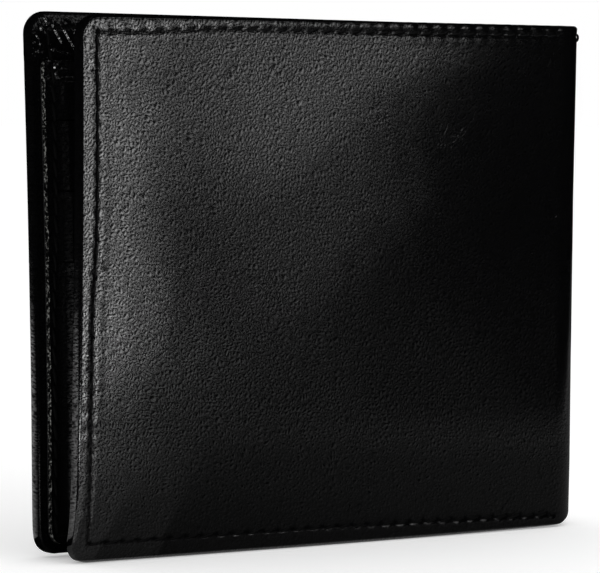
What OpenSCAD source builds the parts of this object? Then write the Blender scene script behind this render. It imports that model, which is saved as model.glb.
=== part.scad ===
// Bifold wallet, closed, standing on its bottom edge.
// The free edges lie at -X, the fold at +X, and the front leaf faces -Y.
// One leaf is drawn in its own frame: x runs from the free edge towards the fold,
// y is the depth from the outer face, and z is the height from the bottom edge.

/* [Wallet] */
// Thickness of the closed wallet across both leaves
wallet_t = 15; // [14:0.5:20]
// Radius of the outer corners at the free edges
corner_r = 4; // [3:0.5:6]

/* [Cards and notes] */
// Width of the cards in the slots
card_w = 85.6; // [80:0.1:90]
// Height of the cards in the slots
card_h = 54; // [50:0.5:58]
// Height of a card left showing above its lip
card_reveal = 9.3; // [8:0.1:12]
// Free width beside a card, on each side
card_side_clear = 2; // [1.5:0.1:3]
// Slack depth of an empty card slot
card_space = 0.1; // [0.1:0.05:0.3]
// Slack depth of the empty note compartment
note_space = 0.3; // [0.2:0.05:0.8]

/* [Leather and lining] */
// Thickness of the cover leather
cover_t = 1; // [0.8:0.1:1.2]
// Thickness of the cover leather where it is thinned and turned in
turn_t = 0.8; // [0.6:0.1:1]
// Width of the turned-in leather
turn_w = 8; // [7:0.5:10]
// Radius of the rounded outer edge of the cover
edge_r = 0.9; // [0.6:0.1:1]
// Thickness of the stiffening board
board_t = 0.4; // [0.3:0.1:0.6]
// Thickness of the lining cloth
lining_t = 0.3; // [0.2:0.05:0.4]
// Thickness of the pocket leather
pocket_t = 0.5; // [0.4:0.05:0.6]
// Thickness of the cloth tail behind a card slot
tail_t = 0.25; // [0.2:0.05:0.35]

/* [Inner panel] */
// Setback of the inner panel from the edges of the cover
panel_setback = 1.8; // [1.2:0.1:2.5]
// Gap between the turned-in leather and the inner panel at the top
panel_top_gap = 0.3; // [0.2:0.1:1]
// Width of the sewn border of an inner sheet
seam_w = 3; // [2.6:0.1:4]
// Width of the slope between a sewn border and the raised face
slope_w = 0.5; // [0.4:0.1:1]
// Height from one card lip to the next
slot_step = 12; // [9:0.5:12]
// Gap between a lip and the sheet above it
lip_gap = 0.2; // [0.1:0.05:0.4]
// Height of the facing strip above the top slot
facing_h = 10; // [7:0.5:18]
// Free width beside the tail of a slot, inside the slot in front of it
tail_side_clear = 1; // [0.5:0.1:1.4]

/* [Fold] */
// Flat margin between the pockets and the fold
fold_margin = 6.1; // [4:0.1:9]
// Gap in the leather at each fold line, along the outer face
fold_gap = 0.25; // [0.2:0.05:0.4]
// Rise of the bottom edge in the middle of the fold
fold_rise = 2.8; // [2:0.1:3.5]
// Height of the doubled hem along the bottom of the fold
fold_hem = 6; // [5:0.5:8]
// Inset of the raised bottom edge from the two outer faces
rise_inset = 0.4; // [0.3:0.1:1]

/* [Clearances] */
// Clearance of the lining inside the turned edge
lining_inset = 0.3; // [0.2:0.1:0.6]
// Clearance of the board inside the turned edge
board_inset = 0.6; // [0.4:0.1:1]
// Clearance of the board from the fold
board_fold_clear = 2; // [1:0.5:4]
// Radius of the free top corner of the inner panel
panel_corner_r = 1; // [0.5:0.5:2]

/* [Hidden] */
$fn = 64;
overrun = 1;
// The fold lines stand at this angle on each side of the middle of the fold
fold_line_deg = 45;

// Widths along a leaf
fold_r = wallet_t / 2;
raised_w = card_w + 2 * card_side_clear;
pocket_x0 = panel_setback;
pocket_x1 = pocket_x0 + raised_w + 2 * (seam_w + slope_w);
leaf_w = pocket_x1 + fold_margin;
wallet_w = leaf_w + fold_r;

// Depths from the outer face, sheet by sheet
lining_d0 = cover_t + board_t;
lining_d1 = lining_d0 + lining_t;
edge_t = lining_d1 + turn_t;
inner_face = edge_t + note_space + lining_t;
slip_face = inner_face + card_space + pocket_t;
facing_face = slip_face + pocket_t;
slot_1_face = facing_face + card_space + pocket_t;
slot_2_face = slot_1_face + card_space + pocket_t;
pocket_face = slot_2_face + card_space + pocket_t;

// Depths of the sewn borders, which lie flat on each other
inner_border = edge_t;
slip_border = inner_border + lining_t;
slot_border = slip_border + pocket_t;

// Heights of the lips, of the inner panel and of the wallet
slot_depth = card_h - card_reveal;
lip_3 = panel_setback + seam_w + slot_depth;
lip_2 = lip_3 + slot_step;
lip_1 = lip_2 + slot_step;
panel_top = lip_1 + lip_gap + facing_h;
wallet_h = panel_top + panel_top_gap + turn_w;

// The tail of a slot
tail_x0 = pocket_x0 + seam_w + slope_w + card_side_clear - tail_side_clear;
tail_x1 = tail_x0 + card_w + 2 * tail_side_clear;

// Half of the fold gap as an angle, and the arc of the raised bottom edge
gap_deg = asin(fold_gap / 2 / fold_r);
rise_half = fold_r - rise_inset;
rise_r = (rise_half * rise_half + fold_rise * fold_rise) / (2 * fold_rise);

leather_colour = [0.07, 0.07, 0.075];
pocket_colour = [0.1, 0.1, 0.105];
cloth_colour = [0.16, 0.16, 0.18];
board_colour = [0.72, 0.66, 0.55];

// A flat outline with round corners at the free edge, in the plane of the leaf
module leaf_outline(x0, x1, z0, z1, r_low, r_high) {
  r_side = max(r_low, r_high);
  translate([x0 + r_side, z0]) square([x1 - x0 - r_side, z1 - z0]);
  translate([x0, z0 + r_low]) square([r_side, z1 - z0 - r_low - r_high]);
  translate([x0 + r_low, z0 + r_low]) circle(r_low);
  translate([x0 + r_high, z1 - r_high]) circle(r_high);
  if (r_side > r_low) translate([x0 + r_low, z0]) square([r_side - r_low, r_low]);
  if (r_side > r_high) translate([x0 + r_high, z1 - r_high]) square([r_side - r_high, r_high]);
}

// A flat sheet between two depths, cut to a leaf outline
module flat_sheet(x0, x1, z0, z1, d0, d1, r_low, r_high)
  translate([0, d1, 0]) rotate([90, 0, 0])
    linear_extrude(d1 - d0) leaf_outline(x0, x1, z0, z1, r_low, r_high);

// Outline drawn as (distance along the sheet, depth), run across the leaf or up it
module run_across(x0, x1)
  translate([x1, 0, 0]) rotate([0, -90, 0]) linear_extrude(x1 - x0) children();
module run_up(z0, z1)
  translate([0, 0, z0]) linear_extrude(z1 - z0) children();

// Skin of a formed sheet along one direction. A sewn side lies flat at its border's depth
// and slopes up to the raised face; a side that isn't sewn stays open.
function skin_run(a0, a1, low, face, t, sewn0, sewn1, border1) = concat(
  [[a0, low]],
  sewn0 ? [[a0, low + t], [a0 + seam_w, low + t], [a0 + seam_w + slope_w, face]] : [[a0, face]],
  sewn1 ? [[a1 - seam_w - slope_w, face], [a1 - seam_w, border1 + t], [a1, border1 + t]] : [[a1, face]],
  [[a1, low]]);

// Hollow behind that skin
function hollow_run(a0, a1, low, face, t, sewn0, sewn1, border1) = concat(
  sewn0 ? [[a0 + seam_w, low], [a0 + seam_w + slope_w, face - t]]
        : [[a0 - overrun, low], [a0 - overrun, face - t]],
  sewn1 ? [[a1 - seam_w - slope_w, face - t], [a1 - seam_w, border1]]
        : [[a1 + overrun, face - t]],
  sewn1 && border1 <= low ? [] : [[a1 + overrun, sewn1 ? border1 : low], [a1 + overrun, low]]);

// A sheet with sewn borders and a raised face.
// sewn = [free side, fold side, bottom, top]; the fold side and the top may have higher borders.
module formed_sheet(x0, x1, z0, z1, low, face, t, sewn, fold_border, top_border) {
  difference() {
    intersection() {
      run_up(z0, z1) polygon(skin_run(x0, x1, low, face, t, sewn[0], sewn[1], fold_border));
      run_across(x0, x1) polygon(skin_run(z0, z1, low, face, t, sewn[2], sewn[3], top_border));
    }
    intersection() {
      run_up(z0 - overrun, z1 + overrun)
        polygon(hollow_run(x0, x1, low, face, t, sewn[0], sewn[1], fold_border));
      run_across(x0 - overrun, x1 + overrun)
        polygon(hollow_run(z0, z1, low, face, t, sewn[2], sewn[3], top_border));
    }
  }
}

// Keeps what lies inside the round corner of the inner panel at the free edge
module trim_to_panel(z1, r_high)
  intersection() {
    children();
    flat_sheet(panel_setback, leaf_w, panel_setback, z1, edge_t, pocket_face,
               corner_r - panel_setback, r_high);
  }

// Turns a (radius, height) outline round the middle of the fold
module round_fold(deg0, deg1)
  translate([leaf_w, fold_r, 0]) rotate([0, 0, deg0])
    rotate_extrude(angle = deg1 - deg0) children();

module fold_band(d0, d1, z0, z1, deg0, deg1)
  round_fold(deg0, deg1) translate([fold_r - d1, z0]) square([d1 - d0, z1 - z0]);

// Space under the raised bottom edge of the fold
module fold_rise_cut()
  translate([leaf_w, fold_r, fold_rise - rise_r]) rotate([0, 90, 0])
    cylinder(h = fold_r + overrun, r = rise_r);

// Edge of the cover in section: x runs inwards from the edge, y is the depth
module edge_solid(reach) {
  translate([edge_r, edge_r]) circle(edge_r);
  translate([edge_r, edge_t - edge_r]) circle(edge_r);
  translate([0, edge_r]) square([edge_r, edge_t - 2 * edge_r]);
  translate([edge_r, 0]) square([reach - edge_r, edge_t]);
}

// The same edge with the pocket between the cover and the leather turned in over it
module edge_section(reach)
  difference() {
    edge_solid(reach);
    translate([cover_t, cover_t]) square([reach, lining_d1 - cover_t]);
  }

module corner_section()
  difference() {
    intersection() {
      translate([corner_r, 0]) mirror([1, 0]) edge_section(turn_w);
      square([corner_r, edge_t]);
    }
  }

// Cover leather of one leaf: plate, turned edges on three sides, and its half of the bend
module cover_leaf() {
  translate([turn_w, 0, turn_w]) cube([leaf_w - turn_w, cover_t, wallet_h - 2 * turn_w]);
  run_up(corner_r, wallet_h - corner_r) edge_section(turn_w);
  run_across(corner_r, leaf_w) edge_section(turn_w);
  translate([0, 0, wallet_h]) mirror([0, 0, 1]) run_across(corner_r, leaf_w) edge_section(turn_w);
  translate([corner_r, 0, corner_r]) rotate([0, 90, 0]) rotate([-90, 0, 0])
    rotate_extrude(angle = 90) corner_section();
  translate([corner_r, 0, wallet_h - corner_r]) rotate([0, 180, 0]) rotate([-90, 0, 0])
    rotate_extrude(angle = 90) corner_section();
  cover_bend(-90, -fold_line_deg - gap_deg);
}

// Wall of the bend in section: x is the radius, y is the height
module bend_section() {
  translate([fold_r, wallet_h]) mirror([0, 1]) rotate(90) edge_section(turn_w);
  translate([fold_r, 0]) rotate(90) edge_solid(fold_hem);
  translate([fold_r - cover_t, fold_hem]) square([cover_t, wallet_h - turn_w - fold_hem]);
}

module cover_bend(deg0, deg1)
  difference() {
    round_fold(deg0, deg1) bend_section();
    fold_rise_cut();
  }

module stiffener_leaf() {
  inset = cover_t + board_inset;
  flat_sheet(inset, leaf_w - board_fold_clear, inset, wallet_h - inset, cover_t, lining_d0,
             corner_r - inset, corner_r - inset);
}

module shell_lining_leaf() {
  inset = cover_t + lining_inset;
  flat_sheet(inset, leaf_w, inset, wallet_h - inset, lining_d0, lining_d1,
             corner_r - inset, corner_r - inset);
  shell_lining_bend(-90, -fold_line_deg - gap_deg);
}

module shell_lining_bend(deg0, deg1)
  fold_band(lining_d0, lining_d1, fold_hem + lining_inset, wallet_h - cover_t - lining_inset,
            deg0, deg1);

module inner_lining_leaf() {
  trim_to_panel(panel_top, panel_corner_r)
    formed_sheet(pocket_x0, leaf_w, panel_setback, panel_top, inner_border, inner_face, lining_t,
                 [true, false, true, false], inner_border, inner_border);
  inner_lining_bend(-90, -fold_line_deg - gap_deg);
}

module inner_lining_bend(deg0, deg1)
  fold_band(inner_face - lining_t, inner_face, fold_hem + lining_inset, panel_top, deg0, deg1);

// Backing of the card slots. It is open towards the fold, which makes a slip pocket behind them.
module slip_pocket_leaf()
  trim_to_panel(panel_top, panel_corner_r)
    formed_sheet(pocket_x0, pocket_x1, panel_setback, panel_top, slip_border, slip_face, pocket_t,
                 [true, false, true, true], slip_border, inner_face);

module pocket_facing_leaf()
  trim_to_panel(panel_top, panel_corner_r)
    formed_sheet(pocket_x0, pocket_x1, lip_1 + lip_gap, panel_top, slot_border, facing_face, pocket_t,
                 [true, true, false, true], slip_face, inner_face + pocket_t);

// Card slot cut as a T: the arms are sewn at both sides, and the thin tail hangs behind the next slot
module card_slot_leaf(lip, next_lip, face) {
  formed_sheet(pocket_x0, pocket_x1, next_lip + lip_gap, lip, slot_border, face, pocket_t,
               [true, true, false, false], slip_face, slot_border);
  formed_sheet(tail_x0, tail_x1, lip - slot_depth - seam_w, next_lip + lip_gap, slip_face,
               face - pocket_t + tail_t, tail_t, [false, false, true, false], slip_face, slip_face);
}

module card_pocket_leaf()
  trim_to_panel(lip_3, panel_corner_r)
    formed_sheet(pocket_x0, pocket_x1, panel_setback, lip_3, slot_border, pocket_face, pocket_t,
                 [true, true, true, false], slip_face, slot_border);

// Places of the two leaves; the rear leaf mirrors the front one
module front_leaf() translate([-wallet_w / 2, -fold_r, 0]) children();
module rear_leaf() mirror([0, 1, 0]) front_leaf() children();

module rear_cover() color(leather_colour) rear_leaf() cover_leaf();
module rear_stiffener() color(board_colour) rear_leaf() stiffener_leaf();
module rear_shell_lining() color(cloth_colour) rear_leaf() shell_lining_leaf();
module rear_inner_lining() color(cloth_colour) rear_leaf() inner_lining_leaf();
module rear_slip_pocket() color(pocket_colour) rear_leaf() slip_pocket_leaf();
module rear_pocket_facing() color(pocket_colour) rear_leaf() pocket_facing_leaf();
module rear_card_slot_1() color(pocket_colour) rear_leaf() card_slot_leaf(lip_1, lip_2, slot_1_face);
module rear_card_slot_2() color(pocket_colour) rear_leaf() card_slot_leaf(lip_2, lip_3, slot_2_face);
module rear_card_pocket() color(pocket_colour) rear_leaf() card_pocket_leaf();

module spine_leather()
  color(leather_colour) front_leaf() cover_bend(-fold_line_deg + gap_deg, fold_line_deg - gap_deg);
module spine_shell_lining()
  color(cloth_colour) front_leaf()
    shell_lining_bend(-fold_line_deg + gap_deg, fold_line_deg - gap_deg);
module spine_inner_lining()
  color(cloth_colour) front_leaf()
    inner_lining_bend(-fold_line_deg + gap_deg, fold_line_deg - gap_deg);

module front_cover() color(leather_colour) front_leaf() cover_leaf();
module front_stiffener() color(board_colour) front_leaf() stiffener_leaf();
module front_shell_lining() color(cloth_colour) front_leaf() shell_lining_leaf();
module front_inner_lining() color(cloth_colour) front_leaf() inner_lining_leaf();
module front_slip_pocket() color(pocket_colour) front_leaf() slip_pocket_leaf();
module front_pocket_facing() color(pocket_colour) front_leaf() pocket_facing_leaf();
module front_card_slot_1() color(pocket_colour) front_leaf() card_slot_leaf(lip_1, lip_2, slot_1_face);
module front_card_slot_2() color(pocket_colour) front_leaf() card_slot_leaf(lip_2, lip_3, slot_2_face);
module front_card_pocket() color(pocket_colour) front_leaf() card_pocket_leaf();

rear_cover();
rear_stiffener();
rear_shell_lining();
rear_inner_lining();
rear_slip_pocket();
rear_pocket_facing();
rear_card_slot_1();
rear_card_slot_2();
rear_card_pocket();
spine_leather();
spine_shell_lining();
spine_inner_lining();
front_cover();
front_stiffener();
front_shell_lining();
front_inner_lining();
front_slip_pocket();
front_pocket_facing();
front_card_slot_1();
front_card_slot_2();
front_card_pocket();
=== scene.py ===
"""Leather bifold wallet, closed and standing on its edge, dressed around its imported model."""

import math
import random

import bmesh
import bpy
import numpy as np
from mathutils import Euler, Matrix, Vector, noise


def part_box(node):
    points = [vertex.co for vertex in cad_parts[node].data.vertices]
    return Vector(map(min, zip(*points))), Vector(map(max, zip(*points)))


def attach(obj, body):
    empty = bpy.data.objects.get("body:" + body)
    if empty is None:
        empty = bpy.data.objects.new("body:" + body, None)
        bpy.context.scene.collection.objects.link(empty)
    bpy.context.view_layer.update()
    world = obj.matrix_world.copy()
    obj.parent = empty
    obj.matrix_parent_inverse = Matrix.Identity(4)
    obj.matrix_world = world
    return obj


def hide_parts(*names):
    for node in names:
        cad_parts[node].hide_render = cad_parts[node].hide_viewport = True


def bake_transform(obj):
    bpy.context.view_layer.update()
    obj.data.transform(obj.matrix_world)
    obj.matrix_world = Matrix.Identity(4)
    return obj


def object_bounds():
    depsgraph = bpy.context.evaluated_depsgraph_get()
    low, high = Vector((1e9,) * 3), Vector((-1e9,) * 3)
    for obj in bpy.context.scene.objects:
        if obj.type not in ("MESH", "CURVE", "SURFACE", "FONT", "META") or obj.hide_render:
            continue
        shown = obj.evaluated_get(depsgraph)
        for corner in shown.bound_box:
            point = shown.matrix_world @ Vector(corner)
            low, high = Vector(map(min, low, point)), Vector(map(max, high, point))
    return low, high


bl_info = {
    "name": "Bifold wallet",
    "version": (1, 0, 0),
    "blender": (4, 5, 0),
    "location": "3D View > Sidebar > Wallet",
    "description": "Builds a stitched leather bifold wallet around its packed model",
    "category": "Object",
}

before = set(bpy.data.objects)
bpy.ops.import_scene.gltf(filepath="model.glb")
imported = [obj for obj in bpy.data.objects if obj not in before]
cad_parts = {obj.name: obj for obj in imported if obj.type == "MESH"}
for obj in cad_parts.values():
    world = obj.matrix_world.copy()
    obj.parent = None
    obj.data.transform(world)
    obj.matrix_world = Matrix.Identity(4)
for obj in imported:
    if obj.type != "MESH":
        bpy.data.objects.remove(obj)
CAD_BOX = [list(corner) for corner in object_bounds()]
MM = 0.001
WIDTH, THICKNESS, HEIGHT = (high - low for low, high in zip(*CAD_BOX))
FOLD_R = THICKNESS / 2
LEAF_W = WIDTH - FOLD_R
QUARTER = math.pi / 2
BEND_END = LEAF_W + FOLD_R * QUARTER
X_FOLD = LEAF_W - WIDTH / 2
PANEL_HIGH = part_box("front_slip_pocket")[1]
LEAVES = ("front", "rear")
MERGE = 0.06 * MM


def length(name, default_mm, about):
    """A length that a user may change, in metres."""
    return bpy.props.FloatProperty(name=name, default=default_mm * MM, description=about,
                                   unit="LENGTH", precision=5)


def colour(name, default, about):
    """A colour that a user may change."""
    return bpy.props.FloatVectorProperty(name=name, default=default, description=about,
                                         subtype="COLOR", size=3, min=0, max=1)


class WalletSizes(bpy.types.PropertyGroup):
    """Sizes of the wallet's own details."""
    corner_r: length("Corner radius", 4.0, "Radius of the cover's corners at the free edges")
    edge_r: length("Edge radius", 0.6, "Radius of the rounded, turned edge")
    edge_t: length("Edge thickness", 2.5, "Thickness of the turned edge")
    turn_w: length("Turned-in width", 8.0, "Width of the leather turned in over the lining")
    cover_t: length("Cover leather", 0.8, "Thickness of the cover leather")
    mesh_step: length("Leather mesh step", 0.65, "Distance between points in the cover's mesh")
    top_margin: length("Top seam margin", 1.88, "Distance of the top seam from the edge")
    top_margin_free: length("Top seam margin at the free edge", 2.8,
                            "Distance of the top seam from the edge near the free edge")
    side_margin: length("Side seam margin", 3.45, "Distance of the side seam from the free edge")
    side_margin_low: length("Side seam margin below", 2.6,
                            "Distance of the side seam from the free edge in its lower half")
    low_margin: length("Bottom seam margin", 3.45, "Distance of the bottom seam at the free edge")
    low_margin_fold: length("Bottom seam margin at the fold", 2.2,
                            "Distance of the bottom seam from the edge near the fold")
    pitch: length("Stitch pitch", 3.22, "Distance from one stitch to the next")
    thread_w: length("Thread width", 0.56, "Width of the sewing thread")
    groove: length("Seam depth", 0.17, "Depth to which the seam pulls the leather in")
    puff: length("Border puff", 0.04, "Rise of the leather between the seam and the edge")
    fold_rise: length("Fold rise", 2.8, "Rise of the bottom edge in the middle of the fold")
    fold_bulge: length("Fold bulge", 0.65, "Outward bulge of the fold near its bottom")
    fold_lift: length("Fold lift", 0.3, "Rise of the bottom edges where they reach the fold")
    free_lift: length("Rear leaf lift", 0.6, "Rise of the rear leaf at its free edge")
    setback: length("Panel setback", 1.8, "Setback of the inner panel from the edges")
    pocket_t: length("Pocket leather", 0.5, "Thickness of the pocket leather")
    lining_t: length("Lining", 0.3, "Thickness of the lining cloth")
    board_t: length("Board", 0.4, "Thickness of the stiffening board")


class WalletColours(bpy.types.PropertyGroup):
    """Colours of the wallet's materials."""
    leather: colour("Cover leather", (0.0007, 0.0007, 0.00076), "Black cover leather")
    pocket: colour("Pocket leather", (0.0009, 0.0009, 0.0010), "Black pocket leather")
    raw_edge: colour("Raw edge", (0.002, 0.002, 0.0019), "Cut edge of the leather")
    lining: colour("Lining", (0.0022, 0.0022, 0.0026), "Black lining cloth")
    thread: colour("Thread", (0.0008, 0.0008, 0.0009), "Black sewing thread")
    board: colour("Board", (0.22, 0.17, 0.12), "Bonded stiffening board")
    floor: colour("Floor", (0.93, 0.93, 0.93), "Studio floor")


def sizes():
    return bpy.context.scene.wallet_sizes


def colours():
    return bpy.context.scene.wallet_colours


# Edit mode helpers

def only(piece):
    """Selects one piece alone and makes it active."""
    bpy.ops.object.select_all(action="DESELECT")
    piece.select_set(True)
    bpy.context.view_layer.objects.active = piece


def edit(piece, kind):
    """Opens a piece in edit mode with nothing selected."""
    only(piece)
    bpy.ops.object.mode_set(mode="EDIT")
    bpy.ops.mesh.select_mode(type=kind)
    bpy.ops.mesh.select_all(action="DESELECT")


def close_edit():
    bpy.ops.object.mode_set(mode="OBJECT")


def pick_edges(piece, test):
    """Selects only the open edges whose two ends pass the test."""
    bpy.ops.mesh.select_all(action="DESELECT")
    mesh = bmesh.from_edit_mesh(piece.data)
    for edge in mesh.edges:
        edge.select_set(edge.is_boundary and all(test(v.co) for v in edge.verts))
    bmesh.update_edit_mesh(piece.data)


def pick_faces(piece, test):
    """Selects only the faces whose middle passes the test."""
    bpy.ops.mesh.select_mode(type="FACE")
    bpy.ops.mesh.select_all(action="DESELECT")
    mesh = bmesh.from_edit_mesh(piece.data)
    for face in mesh.faces:
        face.select_set(bool(test(face.calc_center_median())))
    bmesh.update_edit_mesh(piece.data)


def pull(steps):
    """Extrudes the selected edges by one step after another."""
    for step in steps:
        bpy.ops.mesh.extrude_edges_move(TRANSFORM_OT_translate={"value": step})


def spin(turns, angle, centre, axis):
    """Turns the selected edges about an axis, counter-clockwise seen against the axis."""
    bpy.ops.mesh.spin(steps=turns, angle=-angle, center=centre, axis=axis)


def merge_doubles():
    bpy.ops.mesh.select_all(action="SELECT")
    bpy.ops.mesh.remove_doubles(threshold=MERGE)


def only_none():
    bpy.ops.object.select_all(action="DESELECT")
    bpy.context.view_layer.objects.active = None


def face_outwards():
    """Turns every face outwards and leaves edit mode."""
    bpy.ops.mesh.select_all(action="SELECT")
    bpy.ops.mesh.normals_make_consistent(inside=False)
    close_edit()


def leaf_grid(name, u0, u1, z0, z1, depth, step, inward):
    """A flat grid in the plane of the front leaf. Inward grids face the other leaf."""
    only_none()
    columns = max(2, round((u1 - u0) / step))
    rows = max(2, round((z1 - z0) / step))
    middle = ((u0 + u1) / 2 - WIDTH / 2, depth - FOLD_R, (z0 + z1) / 2)
    bpy.ops.mesh.primitive_grid_add(x_subdivisions=columns, y_subdivisions=rows, size=1,
                                    location=middle, rotation=(QUARTER, 0, 0))
    piece = bpy.context.object
    piece.scale = (u1 - u0, z1 - z0, 1)
    apply_place()
    piece.name = name
    piece.data.name = name
    if inward:
        edit(piece, "FACE")
        bpy.ops.mesh.select_all(action="SELECT")
        bpy.ops.mesh.flip_normals()
        close_edit()
    return piece


def apply_place():
    """Works the active piece's place, turn and size into its points."""
    bpy.ops.object.transform_apply(location=True, rotation=True, scale=True)


def join(pieces):
    """Joins the pieces into the first of them."""
    bpy.ops.object.select_all(action="DESELECT")
    for piece in pieces:
        piece.select_set(True)
    bpy.context.view_layer.objects.active = pieces[0]
    bpy.ops.object.join()
    return bpy.context.object


def apply_modifier(piece, kind, **settings):
    """Adds a modifier and applies it."""
    only(piece)
    modifier = piece.modifiers.new(kind.title(), kind)
    for key, value in settings.items():
        setattr(modifier, key, value)
    bpy.ops.object.modifier_apply(modifier=modifier.name)


def points_of(piece, what="co"):
    """The piece's points, or another value of them, as an array."""
    values = np.zeros(len(piece.data.vertices) * 3)
    piece.data.vertices.foreach_get(what, values)
    return values.reshape(-1, 3)


def set_points(piece, points):
    piece.data.vertices.foreach_set("co", points.ravel())
    piece.data.update()


# Places on the front leaf

def along(points):
    """Splits points into the length along the outer face, the depth and the height."""
    u = points[:, 0] + WIDTH / 2
    flat_depth = points[:, 1] + FOLD_R
    past = u - LEAF_W
    angle = np.arctan2(past, -points[:, 1])
    round_depth = FOLD_R - np.hypot(past, points[:, 1])
    bent = past > 0
    s = np.where(bent, LEAF_W + angle * FOLD_R, u)
    return s, np.where(bent, round_depth, flat_depth), points[:, 2]


def place(s, depth, z):
    """World point of a place on the front leaf or on its half of the bend."""
    if s <= LEAF_W:
        return Vector((s - WIDTH / 2, depth - FOLD_R, z))
    angle = (s - LEAF_W) / FOLD_R
    radius = FOLD_R - depth
    return Vector((X_FOLD + radius * math.sin(angle), -radius * math.cos(angle), z))


def unit(x):
    """Keeps values between 0 and 1."""
    return np.clip(x, 0, 1)


# Where the top seam's margin narrows along the top, and the side seam's margin widens with height,
# each as its middle or start and its reach
TOP_NARROWS = (19 * MM, 4.5 * MM)
SIDE_WIDENS = (38 * MM, 22 * MM)


def low_seam(s):
    """Distance of the bottom seam from the bottom edge."""
    w = sizes()
    return w.low_margin + (w.low_margin_fold - w.low_margin) * unit(s / LEAF_W) ** 3


def top_seam(s):
    """Distance of the top seam from the top edge."""
    w = sizes()
    past = np.exp((s - TOP_NARROWS[0]) / TOP_NARROWS[1])
    return w.top_margin + (w.top_margin_free - w.top_margin) / (1 + past)


def side_seam(z):
    """Distance of the side seam from the free edge."""
    w = sizes()
    return w.side_margin_low + (w.side_margin - w.side_margin_low) * ramp(z, *SIDE_WIDENS)


def seam_distance(s, z):
    """Distance inside the seam's line, below zero between the seam and the edge, and the
    length along the nearest seam."""
    top = HEIGHT - z - top_seam(s)
    side = s - side_seam(z)
    low = z - low_seam(s)
    nearest = np.minimum(np.minimum(top, side), low)
    outside = np.hypot(np.minimum(side, 0), np.minimum(np.minimum(top, low), 0))
    distance = np.where(nearest > 0, nearest, -outside)
    run = np.where(np.abs(side) < np.minimum(np.abs(top), np.abs(low)), z, s)
    return distance, run


def ramp(x, start, width):
    """Smooth step from 0 to 1."""
    t = unit((x - start) / width)
    return t * t * (3 - 2 * t)


def hump(x, middle, width):
    return np.exp(-((x - middle) / width) ** 2)


def cloud(points, size, seed):
    """Smooth noise from -1 to 1 with lumps of about the given size."""
    offset = Vector((seed * 7.31, seed * 3.17, seed * 1.73))
    return np.array([noise.noise(Vector(p) / size + offset) for p in points])


def waves(points, kind, seed):
    """Smooth noise of a height and size."""
    rise, size = kind
    return rise * cloud(points, size, seed)


# Pleats of the turned-in corner: their two ends, each as the distances from the free edge and below
# the top, and their height, all in mm
PLEATS = (
    (3.9, 1.0, 6.4, 6.1, 0.30), (5.5, 1.8, 10.1, 8.2, 0.30), (7.5, 2.4, 11.8, 7.4, 0.26),
    (1.2, 1.0, 2.7, 3.7, 0.26), (2.5, 0.5, 3.5, 2.6, 0.22), (3.9, 6.3, 7.8, 7.5, 0.24),
    (3.2, 4.9, 4.9, 7.1, 0.26), (1.0, 3.7, 2.4, 6.0, 0.26), (2.5, 2.8, 3.9, 5.1, 0.22),
    (6.6, 0.9, 8.0, 2.0, 0.16), (9.2, 1.6, 10.2, 2.7, 0.14), (1.6, 6.0, 3.0, 7.6, 0.18),
)
PLEAT_W = 0.17 * MM
# Rough spots: their middle in the same way, their reach across and down, and their height
CRUMPLES = ((3.8, 9.7, 2.4, 1.8, 0.34), (1.0, 6.6, 0.9, 1.6, 0.30), (3.0, 13.0, 1.0, 2.2, 0.20))


def crumple_shares(u, t):
    """How far a place lies in each of the rough spots."""
    return [hump(u / MM, u0, across) * hump(t / MM, t0, down) for u0, t0, across, down, _ in CRUMPLES]


def crumple_height(points, u, t):
    """Rough, wrinkled spots of the turned-in leather."""
    height = np.zeros(len(u))
    for share, (_, _, _, _, rise) in zip(crumple_shares(u, t), CRUMPLES):
        near = share > 0.02
        rough = np.zeros(len(u))
        rough[near] = cloud(points[near], 0.9 * MM, 41) + 0.5 * cloud(points[near], 0.45 * MM, 42)
        height += rise * MM * share * rough
    return height


def pleat_height(u, t):
    """Height of the pleats at a place on the turned-in corner."""
    height = np.zeros(len(u))
    for u0, t0, u1, t1, rise in PLEATS:
        start, end = np.array([u0, t0]) * MM, np.array([u1, t1]) * MM
        run = end - start
        size = np.linalg.norm(run)
        share = ((u - start[0]) * run[0] + (t - start[1]) * run[1]) / size ** 2
        wander = 0.10 * MM * np.sin(share * 6 + u0 * 3)
        off = ((u - start[0]) * run[1] - (t - start[1]) * run[0]) / size + wander
        taper = unit(1 - np.abs(np.clip(share, -0.5, 1.5) * 2 - 1) ** 4)
        height += rise * MM * taper * hump(off, 0, PLEAT_W)
        height -= 0.4 * rise * MM * taper * hump(off, 1.7 * PLEAT_W, PLEAT_W)
    return height


# The pressed seam in section, in mm from its line, below zero towards the edge: middle and reach
GROOVE = (0, 0.23)
BORDER_PUFF = (-1.2, 0.65)
INNER_PUFF = (1.15, 0.8)
# Half width of the painted shade along the seam's line between the leather and the thread, how much a hole
# adds, and the painted shade of the hole at the seam's corner
SEAM_SHADE_W, HOLE_SHADE_W = 0.19, 0.15
CORNER_HOLE_SHADE = 0.55 * MM
LOW_BORDER = 6 * MM
# Panel edges and puckers that cross the border by the free edge: height above the bottom and rise
CROSS_PUCKERS = ((84.6, 0.10), (83.1, -0.12), (49.6, 0.10), (49.0, -0.08))
PLEATED_W = 12 * MM
# The leather's lumps between the stitches, its broad waves and its fine ones: share or height, and size
LUMPS, BROAD, FINE = (0.45, 5 * MM), (0.05 * MM, 26 * MM), (0.010 * MM, 5.5 * MM)
# The bottom seam fades past the fold line, and all relief before the middle of the bend
LOW_FADE, BEND_FADE = 2 * MM, 1.5 * MM


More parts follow.
